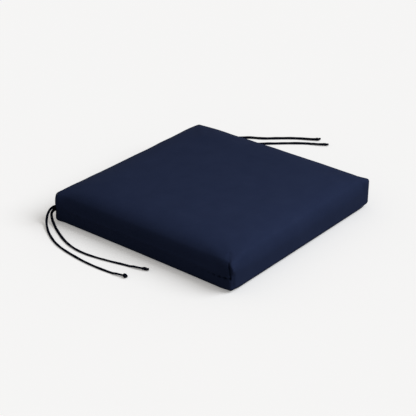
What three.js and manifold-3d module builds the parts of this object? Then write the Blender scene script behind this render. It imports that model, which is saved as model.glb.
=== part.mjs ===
// Boxed seat cushion with four knotted ties, lying flat as it would on a chair seat.
// Millimetres, +Z up. The origin is the middle of the underside. The folded front edge faces -Y
// and the edge with the ties faces +Y.
import * as THREE from 'three';
import { mergeVertices } from 'three/addons/utils/BufferGeometryUtils.js';
import Module from 'manifold-3d';

const wasm = await Module();
wasm.setup();

// The filled cover
const SIDE = 430; // length of each side over its corners
const SHOULDER_HEIGHT = 58.5; // underside to the top at the boxed corners
const CROWN = 11.7; // how far the middle of the top stands above the corners
const CROWN_POWER = 9; // a high power keeps the middle level out to the edges
const CORNER_RADIUS = 11; // seen from above
const TOP_ROLL = 12; // height of the rolled top edge at the corners
const BOTTOM_ROLL = 10; // height of the rolled bottom edge

// Height of the rolled top edge between the corners
const LEFT_ROLL = 28;
const RIGHT_ROLL = 12;
const BACK_ROLL = 18.3;
const FRONT_ROLL = 28;

// How far the middle of each edge is drawn in between its corners. The folded front edge has no
// seam to draw it in, and the right side bulges.
const LEFT_DRAW = 1.4;
const RIGHT_DRAW = -2.6;
const BACK_DRAW = 3.1;
const FRONT_DRAW = -0.3;

// How far the top falls away to each edge between the corners
const LEFT_FALL = 21;
const RIGHT_FALL = 5.6;
const BACK_FALL = 1.7;
const FRONT_FALL = 3.5;
const FALL_REACH = 11; // distance over which a fall fades, inwards from its edge
const SIDE_POWER = 8; // a high power keeps rolls and falls whole until close to the corners

// Seams: one level seam round both sides and the back, and an upright seam at each boxed corner
const SEAM_HEIGHT = 25;
const SEAM_DEPTH = 1.5;
const SEAM_HALF_WIDTH = 2.4;
const SEAM_PULL = 1.1; // the wide, shallow draw of the filling towards the level seam
const SEAM_PULL_HALF_WIDTH = 10;
const CORNER_SEAM_DEPTH = 2.2;
const CORNER_SEAM_HALF_WIDTH = 2.6;
const PUCKER_DEPTH = 2.0; // dimple at each end of a corner seam
const PUCKER_RADIUS = 8;
const TIE_PINCH_DEPTH = 1.8; // dimple where the ties enter a back corner
const TIE_PINCH_RADIUS = 7;
const TIE_ENTRY_HEIGHT = 27.2;

// Divisions of the cover's surface
const PANEL_STEPS = 22; // across the level part of a panel
const EDGE_WARP = 1.3; // radians of a sine that crowds the steps towards the panel's edges
const ROLL_STEPS = 4; // from a flat to the middle of a rounded edge
const STEPS_UNDER_SEAM = 4;
const STEPS_OVER_SEAM = 5;
const SEAM_WARP = 1.6; // power that crowds the steps towards the level seam

// The ties: narrow folded straps
const TIE_WIDTH = 4.8;
const TIE_THICKNESS = 2.9;
const TIE_SIDES = 8;
const TIE_STEP = 8.5; // length of one straight facet along a tie
const GAP = 0.3; // between pieces that touch

// The knot at the end of each tie
const KNOT_HEIGHT = 6;
const KNOT_WRAP_RELIEF = 0.12; // share of the radius that the wraps stand proud
const KNOT_WRAPS = 2;
const KNOT_AROUND = 16;
const KNOT_ALONG = 12;
const TAIL_RADIUS = 1.7;
const TAIL_SIDES = 8;

// Colours: navy cloth and the slightly darker navy of its ties
const CLOTH_COLOUR = 0x202840;
const TIE_COLOUR = 0x151a2b;
const CLOTH_ROUGHNESS = 0.9;

const HALF = SIDE / 2;
const MITRE = Math.PI / 4; // from a face's direction round to the middle of its corner
const LEVEL = HALF - CORNER_RADIUS; // half the level part of a panel
const TIE_REST = TIE_WIDTH / 2 + 0.1; // height of a tie's centre where it lies on the surface
const KNOT_REST = (KNOT_HEIGHT / 2) * (1 + KNOT_WRAP_RELIEF / 2) + 0.1;

const bell = (distance, halfWidth) => Math.exp(-((distance / halfWidth) ** 2));
const clamp = THREE.MathUtils.clamp;
const smooth = THREE.MathUtils.smoothstep;

// Turns a step number along a row of `total` steps into a place between -HALF and HALF, before
// the corners are rounded. The steps in the outer ROLL_STEPS spread evenly over the corner's arc.
function panelPlace(step, total) {
  const fromEnd = Math.min(step, total - step);
  const side = step < total / 2 ? -1 : 1;
  if (fromEnd < ROLL_STEPS) {
    const angle = MITRE * (1 - fromEnd / ROLL_STEPS);
    return side * (LEVEL + CORNER_RADIUS * Math.tan(angle));
  }
  const t = ((step - ROLL_STEPS) / (total - 2 * ROLL_STEPS)) * 2 - 1;
  return (LEVEL * Math.sin(t * EDGE_WARP)) / Math.sin(EDGE_WARP);
}

// The same for a step number up the side: bottom roll, steps crowded round the seam, top roll.
function heightPlace(step) {
  const low = BOTTOM_ROLL;
  const high = SHOULDER_HEIGHT - TOP_ROLL;
  const seamStep = ROLL_STEPS + STEPS_UNDER_SEAM;
  const highStep = seamStep + STEPS_OVER_SEAM;
  if (step < ROLL_STEPS) {
    return low - BOTTOM_ROLL * Math.tan(MITRE * (1 - step / ROLL_STEPS));
  }
  if (step <= seamStep) {
    const t = (seamStep - step) / STEPS_UNDER_SEAM;
    return SEAM_HEIGHT - (SEAM_HEIGHT - low) * t ** SEAM_WARP;
  }
  if (step <= highStep) {
    const t = (step - seamStep) / STEPS_OVER_SEAM;
    return SEAM_HEIGHT + (high - SEAM_HEIGHT) * t ** SEAM_WARP;
  }
  return high + TOP_ROLL * Math.tan((MITRE * (step - highStep)) / ROLL_STEPS);
}

// A point of the sharp box becomes a point of the rounded box. `out` is the surface's direction.
function roundOff(sharp) {
  const core = new THREE.Vector3(
    clamp(sharp.x, -LEVEL, LEVEL),
    clamp(sharp.y, -LEVEL, LEVEL),
    clamp(sharp.z, BOTTOM_ROLL, SHOULDER_HEIGHT - TOP_ROLL),
  );
  const roll = sharp.z > core.z ? TOP_ROLL : BOTTOM_ROLL;
  const radii = new THREE.Vector3(CORNER_RADIUS, CORNER_RADIUS, roll);
  const out = sharp.clone().sub(core).divide(radii).normalize();
  return { point: core.add(out.clone().multiply(radii)), out };
}

// How much a point lies on an upright wall, from 0 on the top and underside to 1
const uprightness = (out) => smooth(Math.hypot(out.x, out.y), 0.35, 0.8);

// Distance along the surface from the nearest corner's upright seam
function distanceFromCornerSeam(point, out) {
  const turn = Math.abs(Math.atan2(Math.abs(out.y), Math.abs(out.x)) - MITRE);
  const past = Math.max(LEVEL - Math.abs(point.x), LEVEL - Math.abs(point.y), 0);
  return turn * CORNER_RADIUS + past;
}

// The depth, below the smooth filled form, that the stitching draws the cover in to
function seamDepth(point, out) {
  const wall = uprightness(out);
  const fromSeam = point.z - SEAM_HEIGHT;
  const sewn = smooth(out.y, -0.75, -0.65); // the front is one folded piece with no level seam
  let depth = wall * sewn * SEAM_DEPTH * bell(fromSeam, SEAM_HALF_WIDTH);
  depth += wall * sewn * SEAM_PULL * bell(fromSeam, SEAM_PULL_HALF_WIDTH);
  const fromCorner = distanceFromCornerSeam(point, out);
  depth += wall * CORNER_SEAM_DEPTH * bell(fromCorner, CORNER_SEAM_HALF_WIDTH);
  const nearCorner = bell(fromCorner, PUCKER_RADIUS);
  const seamTop = SHOULDER_HEIGHT - TOP_ROLL / 2;
  depth += PUCKER_DEPTH * nearCorner * bell(point.z - seamTop, PUCKER_RADIUS);
  if (point.y > 0) {
    const fromTies = bell(point.z - TIE_ENTRY_HEIGHT, TIE_PINCH_RADIUS);
    depth += wall * TIE_PINCH_DEPTH * bell(fromCorner, TIE_PINCH_RADIUS) * fromTies;
  }
  return depth;
}

// How much of a side's own roll and fall a point gets. `place` is where it is along that side.
const betweenCorners = (place) => 1 - Math.min(Math.abs(place) / HALF, 1) ** SIDE_POWER;

// A point's height once the rolled top edge is deeper between the corners. Nothing below the level
// seam moves.
function deepened(point) {
  const sideRoll = point.x > 0 ? RIGHT_ROLL : LEFT_ROLL;
  const endRoll = point.y > 0 ? BACK_ROLL : FRONT_ROLL;
  const roll =
    TOP_ROLL +
    (sideRoll - TOP_ROLL) * betweenCorners(point.y) +
    (endRoll - TOP_ROLL) * betweenCorners(point.x);
  const drop = SHOULDER_HEIGHT - point.z;
  const reach = SHOULDER_HEIGHT - SEAM_HEIGHT;
  if (drop < TOP_ROLL) return SHOULDER_HEIGHT - (drop * roll) / TOP_ROLL;
  if (drop > reach) return point.z;
  const squeeze = (reach - roll) / (reach - TOP_ROLL);
  return SHOULDER_HEIGHT - roll - (drop - TOP_ROLL) * squeeze;
}

// How far the top has fallen at a place near an edge
const fallen = (place, fall) => fall * Math.exp((Math.abs(place) - HALF) / FALL_REACH);

// Draws the sides in, lets the top fall to them and raises the crown. The underside stays level.
function fill(point) {
  const alongX = Math.min(Math.abs(point.x) / HALF, 1);
  const alongY = Math.min(Math.abs(point.y) / HALF, 1);
  const sideDraw = point.x > 0 ? RIGHT_DRAW : LEFT_DRAW;
  const endDraw = point.y > 0 ? BACK_DRAW : FRONT_DRAW;
  const level = (1 - alongX ** CROWN_POWER) * (1 - alongY ** CROWN_POWER);
  const fall =
    betweenCorners(point.y) * fallen(point.x, point.x > 0 ? RIGHT_FALL : LEFT_FALL) +
    betweenCorners(point.x) * fallen(point.y, point.y > 0 ? BACK_FALL : FRONT_FALL);
  return new THREE.Vector3(
    point.x * (1 - (sideDraw * (1 - alongY ** 2)) / HALF),
    point.y * (1 - (endDraw * (1 - alongX ** 2)) / HALF),
    point.z + smooth(point.z, SEAM_HEIGHT, SHOULDER_HEIGHT) * (CROWN * level - fall),
  );
}

function cushionGeometry() {
  const across = PANEL_STEPS + 2 * ROLL_STEPS;
  const up = STEPS_UNDER_SEAM + STEPS_OVER_SEAM + 2 * ROLL_STEPS;
  const box = new THREE.BoxGeometry(2, 2, 2, across, across, up);
  const places = box.attributes.position;
  const step = (value, total) => Math.round(((value + 1) / 2) * total);
  for (let i = 0; i < places.count; i += 1) {
    const sharp = new THREE.Vector3(
      panelPlace(step(places.getX(i), across), across),
      panelPlace(step(places.getY(i), across), across),
      heightPlace(step(places.getZ(i), up)),
    );
    const { point, out } = roundOff(sharp);
    point.z = deepened(point);
    point.addScaledVector(out, -seamDepth(point, out));
    const filled = fill(point);
    places.setXYZ(i, filled.x, filled.y, Math.max(filled.z, 0));
  }
  return weld(box);
}

// Shared corners are merged, so that the surface is one closed skin.
function weld(geometry) {
  geometry.deleteAttribute('normal');
  geometry.deleteAttribute('uv');
  const welded = mergeVertices(geometry, 1e-4);
  welded.computeVertexNormals();
  return welded;
}

// Where the ties leave a back corner, one above the other: distance out along x and y, and height
const UPPER_EXIT = 209.55;
const UPPER_EXIT_HEIGHT = 29.8;
const LOWER_EXIT = 209.1;
const LOWER_EXIT_HEIGHT = 24.5;

// The way of each tie, from its seam to its knot: out of the corner, down to the surface, then
// along it. The last two points of a route give the direction of its knot.
const LEFT_OUTER_ROUTE = [
  [-UPPER_EXIT, UPPER_EXIT, UPPER_EXIT_HEIGHT],
  [-213, 212.5, 29],
  [-218.5, 215.2, 26.3],
  [-224.1, 215.7, 21.8],
  [-228.4, 215.5, 16],
  [-232.2, 213.9, 10],
  [-236.7, 210.3, 5.4],
  [-253.9, 188.5, TIE_REST],
  [-265.2, 169.8, TIE_REST],
  [-274.3, 151.6, TIE_REST],
  [-280.8, 133.3, TIE_REST],
  [-286.1, 110.6, TIE_REST],
  [-290.1, 84.7, TIE_REST],
  [-292.6, 58.6, TIE_REST],
  [-293.3, 31.3, TIE_REST],
  [-292.2, 5.8, TIE_REST],
  [-290, -14, 2.8],
  [-288.1, -24.2, KNOT_REST],
  [-286.8, -29.5, KNOT_REST],
];
const LEFT_INNER_ROUTE = [
  [-LOWER_EXIT, LOWER_EXIT, LOWER_EXIT_HEIGHT],
  [-213, 211, 24],
  [-216.3, 213.2, 21],
  [-219.1, 213.8, 16.2],
  [-221.3, 211.6, 11],
  [-224.6, 206.5, 6.8],
  [-229, 198.8, 4],
  [-236.6, 185.4, TIE_REST],
  [-247, 166.4, TIE_REST],
  [-256, 148.3, TIE_REST],
  [-262.8, 131.2, TIE_REST],
  [-268, 112.7, TIE_REST],
  [-270.9, 91.9, TIE_REST],
  [-270.6, 69.1, TIE_REST],
  [-267.4, 46.5, TIE_REST],
  [-262.5, 22.6, TIE_REST],
  [-256.9, -0.3, TIE_REST],
  [-252.3, -20.8, 2.8],
  [-249.7, -33.4, KNOT_REST],
  [-247.9, -38.6, KNOT_REST],
];
const RIGHT_OUTER_ROUTE = [
  [UPPER_EXIT, UPPER_EXIT, UPPER_EXIT_HEIGHT],
  [214, 213.7, 29.3],
  [220.3, 216.6, 26],
  [226, 217.5, 20.8],
  [230.8, 217, 15],
  [236, 215.5, 8.5],
  [243.5, 212.5, 4],
  [255, 207, TIE_REST],
  [270, 199, TIE_REST],
  [285, 189.5, TIE_REST],
  [298, 179, TIE_REST],
  [309.5, 167.5, TIE_REST],
  [320.5, 153.5, TIE_REST],
  [332.8, 131.8, TIE_REST],
  [351, 111.2, TIE_REST],
  [367.7, 91, TIE_REST],
  [382.9, 70, TIE_REST],
  [395.4, 46.4, KNOT_REST],
  [398.6, 41.9, KNOT_REST],
];
const RIGHT_INNER_ROUTE = [
  [LOWER_EXIT, LOWER_EXIT, LOWER_EXIT_HEIGHT],
  [213, 212.2, 23.9],
  [217.4, 214, 21],
  [220.8, 213.4, 16.6],
  [223.6, 210.6, 11.6],
  [227.5, 205.5, 7],
  [233, 198, 3.2],
  [253.7, 173.2, TIE_REST],
  [269.2, 157.7, TIE_REST],
  [287.2, 140.2, TIE_REST],
  [305.7, 121.7, TIE_REST],
  [324.1, 102, TIE_REST],
  [341.8, 82.5, TIE_REST],
  [357.9, 62.8, TIE_REST],
  [372.8, 42.2, TIE_REST],
  [382.4, 21.7, KNOT_REST],
  [385.5, 17.2, KNOT_REST],
];

// Each tie and its knot. The tail leaves the middle of the knot, turned from straight on by
// `tailTurn` degrees.
const TIES = [
  {
    name: 'left_outer',
    route: LEFT_OUTER_ROUTE,
    knot: { length: 8.5, width: 7, tailTurn: -125, tailReach: 6.2 },
  },
  {
    name: 'left_inner',
    route: LEFT_INNER_ROUTE,
    knot: { length: 12, width: 6, tailTurn: 8, tailReach: 7.4 },
  },
  {
    name: 'right_outer',
    route: RIGHT_OUTER_ROUTE,
    knot: { length: 8.5, width: 6.6, tailTurn: 38, tailReach: 6.4 },
  },
  {
    name: 'right_inner',
    route: RIGHT_INNER_ROUTE,
    knot: { length: 13, width: 5.8, tailTurn: -6, tailReach: 8 },
  },
];

const curveAlong = (route) =>
  new THREE.CatmullRomCurve3(route.map(([x, y, z]) => new THREE.Vector3(x, y, z)), false, 'centripetal');

function tieGeometry(curve) {
  const oval = new THREE.EllipseCurve(0, 0, TIE_WIDTH / 2, TIE_THICKNESS / 2);
  const corners = oval.getPoints(TIE_SIDES).slice(0, TIE_SIDES);
  const steps = Math.round(curve.getLength() / TIE_STEP);
  const strap = new THREE.ExtrudeGeometry(new THREE.Shape(corners), {
    steps,
    bevelEnabled: false,
    extrudePath: curve,
  });
  return weld(strap);
}

// An egg-shaped lump along +Y whose wraps stand proud as slanted ridges. Its near end is cut
// square, as broad as the tie that runs into it.
function knotLump(length, width) {
  const lump = new THREE.SphereGeometry(1, KNOT_AROUND, KNOT_ALONG);
  const places = lump.attributes.position;
  const squareEnd = -Math.sqrt(1 - (TIE_WIDTH / width) ** 2);
  for (let i = 0; i < places.count; i += 1) {
    const along = places.getY(i);
    const around = Math.atan2(places.getZ(i), places.getX(i));
    const fromAxis = Math.hypot(places.getX(i), places.getZ(i));
    const wrap = Math.sin(KNOT_WRAPS * around + Math.PI * along);
    const swell = 1 + KNOT_WRAP_RELIEF * wrap * fromAxis ** 2;
    const start = Math.max(along, squareEnd) - squareEnd;
    places.setXYZ(
      i,
      (places.getX(i) * swell * width) / 2,
      (start * length) / (1 - squareEnd),
      (places.getZ(i) * swell * KNOT_HEIGHT) / 2,
    );
  }
  return weld(lump);
}

// The short free end that leaves the knot, tapered a little
function knotTail({ length, tailTurn, tailReach }) {
  const tail = new THREE.CylinderGeometry(TAIL_RADIUS * 0.85, TAIL_RADIUS, tailReach, TAIL_SIDES);
  tail.translate(0, tailReach / 2, 0);
  tail.rotateZ(THREE.MathUtils.degToRad(tailTurn));
  tail.translate(0, length / 2, 0);
  return weld(tail);
}

function toManifold(geometry) {
  const mesh = new wasm.Mesh({
    numProp: 3,
    vertProperties: new Float32Array(geometry.attributes.position.array),
    triVerts: new Uint32Array(geometry.index.array),
  });
  return new wasm.Manifold(mesh);
}

function toGeometry(manifold) {
  const mesh = manifold.getMesh();
  const geometry = new THREE.BufferGeometry();
  geometry.setAttribute('position', new THREE.BufferAttribute(mesh.vertProperties, 3));
  geometry.setIndex(new THREE.BufferAttribute(mesh.triVerts, 1));
  geometry.computeVertexNormals();
  return geometry;
}

const knotGeometry = (knot) =>
  toGeometry(toManifold(knotLump(knot.length, knot.width)).add(toManifold(knotTail(knot))));

function clothMesh(name, geometry, colour) {
  const material = new THREE.MeshStandardMaterial({
    color: colour,
    roughness: CLOTH_ROUGHNESS,
    metalness: 0,
  });
  const mesh = new THREE.Mesh(geometry, material);
  mesh.name = name;
  return mesh;
}

function knotMesh(tie, curve) {
  const mesh = clothMesh(`knot_${tie.name}`, knotGeometry(tie.knot), TIE_COLOUR);
  const end = curve.getPointAt(1);
  const heading = curve.getTangentAt(1);
  mesh.position.copy(end).addScaledVector(heading, GAP);
  mesh.rotation.z = Math.atan2(heading.y, heading.x) - Math.PI / 2;
  return mesh;
}

function tieGroup(tie) {
  const curve = curveAlong(tie.route);
  const group = new THREE.Group();
  group.add(clothMesh(`tie_${tie.name}`, tieGeometry(curve), TIE_COLOUR));
  group.add(knotMesh(tie, curve));
  return group;
}

const cushion = new THREE.Group();
cushion.name = 'chair_cushion';
cushion.add(clothMesh('cushion', cushionGeometry(), CLOTH_COLOUR));
TIES.forEach((tie) => cushion.add(tieGroup(tie)));

export default cushion;
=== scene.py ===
import logging
import math
from dataclasses import dataclass, replace
from enum import Enum
from typing import NamedTuple

import bmesh
import bpy
import numpy as np
from mathutils import Euler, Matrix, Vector, kdtree


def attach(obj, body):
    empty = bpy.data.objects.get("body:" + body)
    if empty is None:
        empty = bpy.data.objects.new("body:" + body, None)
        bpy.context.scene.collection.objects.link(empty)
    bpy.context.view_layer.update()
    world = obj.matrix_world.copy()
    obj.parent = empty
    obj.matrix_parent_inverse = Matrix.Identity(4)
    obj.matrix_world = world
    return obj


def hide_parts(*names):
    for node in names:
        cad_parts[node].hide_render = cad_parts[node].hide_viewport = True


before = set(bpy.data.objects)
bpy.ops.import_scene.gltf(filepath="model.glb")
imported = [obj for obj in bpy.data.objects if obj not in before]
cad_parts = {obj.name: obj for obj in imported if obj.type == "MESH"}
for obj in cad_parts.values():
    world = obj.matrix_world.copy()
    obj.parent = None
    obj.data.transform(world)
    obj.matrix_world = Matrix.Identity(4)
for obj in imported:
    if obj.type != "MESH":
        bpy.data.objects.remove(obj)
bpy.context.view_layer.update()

log = logging.getLogger("chair_cushion")

MM = 0.001
BODY = "root"
UP = (0, 0, 1)
# Keeps a division from failing
TINY = 1e-9

# A place, or a colour
Triple = tuple[float, float, float]
# Where something starts to show and where it shows fully
Slope = tuple[float, float]


class Corner(Enum):
    """The four boxed corners. Each value is the signs of x and y there."""

    FRONT_LEFT = (-1, -1)
    FRONT_RIGHT = (1, -1)
    BACK_LEFT = (-1, 1)
    BACK_RIGHT = (1, 1)

    def nearness(self, points: np.ndarray, level: float, reach: float) -> np.ndarray:
        """How near each point is to this corner: 1 past the level part, 0 a reach before it."""
        x, y = (points[:, i] * self.value[i] for i in range(2))
        return smooth(x, level - reach, level) * smooth(y, level - reach, level)


# The power of a plain rounding. More is squarer, less is cut off
ROUND = 2
# The corners that aren't plainly round, each with the power of its rounding
Squareness = tuple[tuple[Corner, float], ...]


# Small shared functions


def bell(distance: np.ndarray, half_width: float) -> np.ndarray:
    """A bump of height 1 that fades with distance."""
    return np.exp(-((distance / half_width) ** 2))


def smooth(value: np.ndarray, low: float, high: float) -> np.ndarray:
    """Rises smoothly from 0 at low to 1 at high."""
    t = np.clip((value - low) / (high - low), 0, 1)
    return t * t * (3 - 2 * t)


def distances(line: np.ndarray) -> np.ndarray:
    """How far along the line each of its rows of x, y, z is."""
    return np.concatenate([[0], np.cumsum(np.linalg.norm(np.diff(line, axis=0), axis=1))])


def positions(mesh: bpy.types.Mesh) -> np.ndarray:
    """Reads the vertices of a mesh.

    Args:
        mesh: any mesh.

    Returns:
        Rows of x, y, z.
    """
    places = np.empty(len(mesh.vertices) * 3)
    mesh.vertices.foreach_get("co", places)
    return places.reshape(-1, 3)


def set_positions(mesh: bpy.types.Mesh, places: np.ndarray) -> None:
    """Moves the mesh's vertices to these rows of x, y, z."""
    mesh.vertices.foreach_set("co", places.ravel())
    mesh.update()


def add_object(name: str, data: bpy.types.ID) -> bpy.types.Object:
    """Adds an object to the scene.

    Args:
        name: the object's name.
        data: its mesh, camera or lamp.

    Returns:
        The new object, at the origin.
    """
    added = bpy.data.objects.new(name, data)
    bpy.context.scene.collection.objects.link(added)
    return added


def finish_shell(bm: bmesh.types.BMesh) -> None:
    """Turns the faces outwards and sorts them, because an extrusion adds them in no fixed order.

    Args:
        bm: the straps of one piece.
    """
    bmesh.ops.recalc_face_normals(bm, faces=bm.faces)
    bm.verts.index_update()
    ranks = {face: [vert.index for vert in face.verts] for face in bm.faces}
    bm.faces.sort(key=lambda face: min(ranks[face]) * len(bm.verts) + max(ranks[face]))


def add_piece(name: str, bm: bmesh.types.BMesh) -> bpy.types.Object:
    """Turns a bmesh into a smooth-shaded object of the scene.

    Args:
        name: the piece's name.
        bm: the shape, which is freed here.

    Returns:
        The new object, at the origin.
    """
    mesh = bpy.data.meshes.new(name)
    bm.to_mesh(mesh)
    bm.free()
    mesh.polygons.foreach_set("use_smooth", [True] * len(mesh.polygons))
    return add_object(name, mesh)


def looking(place: Triple, aim: Triple) -> Euler:
    """The rotation of a camera or lamp that looks from its place at its aim."""
    return (Vector(aim) - Vector(place)).to_track_quat("-Z", "Y").to_euler()


# Finishes


class Blend(Enum):
    """What a Mix node blends: its data type, the numbers of its three inputs and of its output."""

    VALUES = ("FLOAT", (0, 2, 3), 0)
    COLOURS = ("RGBA", (0, 6, 7), 2)


class Wiring:
    """Adds and links the nodes of one node tree."""

    def __init__(self, tree: bpy.types.NodeTree) -> None:
        """Keeps the tree whose nodes are added."""
        self.tree = tree

    def node(self, kind: str, links: dict | None = None, **settings: object) -> bpy.types.Node:
        """Adds a node.

        Args:
            kind: the node's type name.
            links: input name or number to an output socket or a plain value.
            settings: properties of the node.

        Returns:
            The new node.
        """
        made = self.tree.nodes.new(kind)
        for key, value in settings.items():
            setattr(made, key, value)
        self.feed(made, links or {})
        return made

    def feed(self, node: bpy.types.Node, links: dict) -> None:
        """Feeds the inputs of a node.

        Args:
            node: the node.
            links: input name or number to an output socket or a plain value.
        """
        for key, value in links.items():
            if isinstance(value, bpy.types.NodeSocket):
                self.tree.links.new(value, node.inputs[key])
            else:
                node.inputs[key].default_value = value

    def math(self, operation: str, *terms: object) -> bpy.types.NodeSocket:
        """The result of a Math node on one, two or three terms."""
        return self.node("ShaderNodeMath", dict(enumerate(terms)), operation=operation).outputs[0]

    def mix(self, blend: Blend, factor: object, low: object, high: object) -> bpy.types.NodeSocket:
        """Adds a Mix node.

        Args:
            blend: what it blends.
            factor: 0 for low to 1 for high, as an output socket or a plain value.
            low: what it gives at factor 0.
            high: what it gives at factor 1.

        Returns:
            What lies between low and high at factor.
        """
        kind, inputs, output = blend.value
        links = dict(zip(inputs, (factor, low, high)))
        return self.node("ShaderNodeMix", links, data_type=kind).outputs[output]


class Dressing(Wiring):
    """Adds the nodes of one new material round its shader."""

    def __init__(self, name: str) -> None:
        """Makes the material.

        Args:
            name: the material's name.
        """
        self.material = bpy.data.materials.new(name)
        self.material.use_nodes = True
        super().__init__(self.material.node_tree)

    def finished(self, links: dict) -> bpy.types.Material:
        """The material, with the shader's inputs fed by name with output sockets or plain values."""
        self.feed(self.tree.nodes["Principled BSDF"], links)
        return self.material


class SharedGroup:
    """A shader node group that is built once and placed in every material that uses it."""

    NAME: str
    INPUTS: dict[str, str]
    OUTPUTS: dict[str, str]

    @classmethod
    def get(cls) -> bpy.types.NodeTree:
        """The shared group, built on first use."""
        return bpy.data.node_groups.get(cls.NAME) or cls._build()

    @classmethod
    def _build(cls) -> bpy.types.NodeTree:
        """Builds the group.

        Returns:
            The group, with its named sockets and all of its nodes.
        """
        group = bpy.data.node_groups.new(cls.NAME, "ShaderNodeTree")
        for sockets, direction in ((cls.INPUTS, "INPUT"), (cls.OUTPUTS, "OUTPUT")):
            for label, kind in sockets.items():
                group.interface.new_socket(label, in_out=direction, socket_type=kind)
        source = group.nodes.new("NodeGroupInput").outputs
        wiring = Wiring(group)
        wiring.feed(group.nodes.new("NodeGroupOutput"), cls._wire(wiring, source))
        return group

    @classmethod
    def _wire(cls, wiring: Wiring, source: bpy.types.NodeOutputs) -> dict[str, bpy.types.NodeSocket]:
        """Adds the nodes between the group's input sockets and what it gives to its named outputs."""
        raise NotImplementedError


class WeaveGroup(SharedGroup):
    """Plain weave: every thread passes over and under the threads that cross it.

    It turns a place on the cloth and the threads' spacing into the threads' height and a tone that
    differs a little from thread to thread.
    """

    NAME = "plain weave"
    INPUTS = {"Place": "NodeSocketVector", "Threads per Metre": "NodeSocketFloat"}
    OUTPUTS = {"Height": "NodeSocketFloat", "Tone": "NodeSocketFloat"}
    DIP_POWER = 0.5

    @classmethod
    def _wire(cls, wiring: Wiring, source: bpy.types.NodeOutputs) -> dict[str, bpy.types.NodeSocket]:
        """Adds the weave's nodes.

        Args:
            wiring: adds nodes to the group.
            source: the group's input sockets.

        Returns:
            What each named output gives.
        """
        links = {"Vector": source["Place"], "Scale": source["Threads per Metre"]}
        threads = wiring.node("ShaderNodeVectorMath", links, operation="SCALE").outputs[0]
        split = wiring.node("ShaderNodeSeparateXYZ", {0: threads}).outputs
        waves = [wiring.math("SINE", wiring.math("MULTIPLY", split[i], math.pi)) for i in range(2)]
        over = wiring.math("GREATER_THAN", wiring.math("MULTIPLY", *waves), 0.0)
        warp_thread, weft_thread = (wiring.math("ABSOLUTE", wave) for wave in waves)
        warp = wiring.math("MULTIPLY", warp_thread, wiring.math("POWER", weft_thread, cls.DIP_POWER))
        weft = wiring.math("MULTIPLY", weft_thread, wiring.math("POWER", warp_thread, cls.DIP_POWER))
        tones = []
        for i in range(2):
            number = wiring.math("FLOOR", split[i])
            noise = wiring.node("ShaderNodeTexWhiteNoise", {"W": number}, noise_dimensions="1D")
            tones.append(noise.outputs["Value"])
        height = wiring.mix(Blend.VALUES, over, weft, warp)
        return {"Height": height, "Tone": wiring.mix(Blend.VALUES, over, tones[1], tones[0])}


class WearGroup(SharedGroup):
    """Soft clouds of handling and a sparse scatter of lint.

    It turns a place on the piece into two masks, Clouds and Lint, each from 0 to 1.
    """

    NAME = "handling and lint"
    INPUTS = {"Place": "NodeSocketVector", "Cloud Scale": "NodeSocketFloat", "Lint Scale": "NodeSocketFloat"}
    OUTPUTS = {"Clouds": "NodeSocketFloat", "Lint": "NodeSocketFloat"}
    CLOUD_NOISE = {"Detail": 4.0, "Roughness": 0.6}
    CLOUD_RANGE = (0.35, 0.65)
    LINT_NOISE = {"Detail": 2.0}
    LINT_RANGE = (0.72, 0.8)

    @classmethod
    def _wire(cls, wiring: Wiring, source: bpy.types.NodeOutputs) -> dict[str, bpy.types.NodeSocket]:
        """Adds the nodes of the two masks.

        Args:
            wiring: adds nodes to the group.
            source: the group's input sockets.

        Returns:
            What each named output gives.
        """
        masks = {}
        for label, scale, noise, (low, high) in (
            ("Clouds", "Cloud Scale", cls.CLOUD_NOISE, cls.CLOUD_RANGE),
            ("Lint", "Lint Scale", cls.LINT_NOISE, cls.LINT_RANGE),
        ):
            links = {"Vector": source["Place"], "Scale": source[scale], **noise}
            cloudy = wiring.node("ShaderNodeTexNoise", links).outputs[0]
            links = {"Value": cloudy, "From Min": low, "From Max": high}
            masks[label] = wiring.node("ShaderNodeMapRange", links).outputs[0]
        return masks


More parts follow.
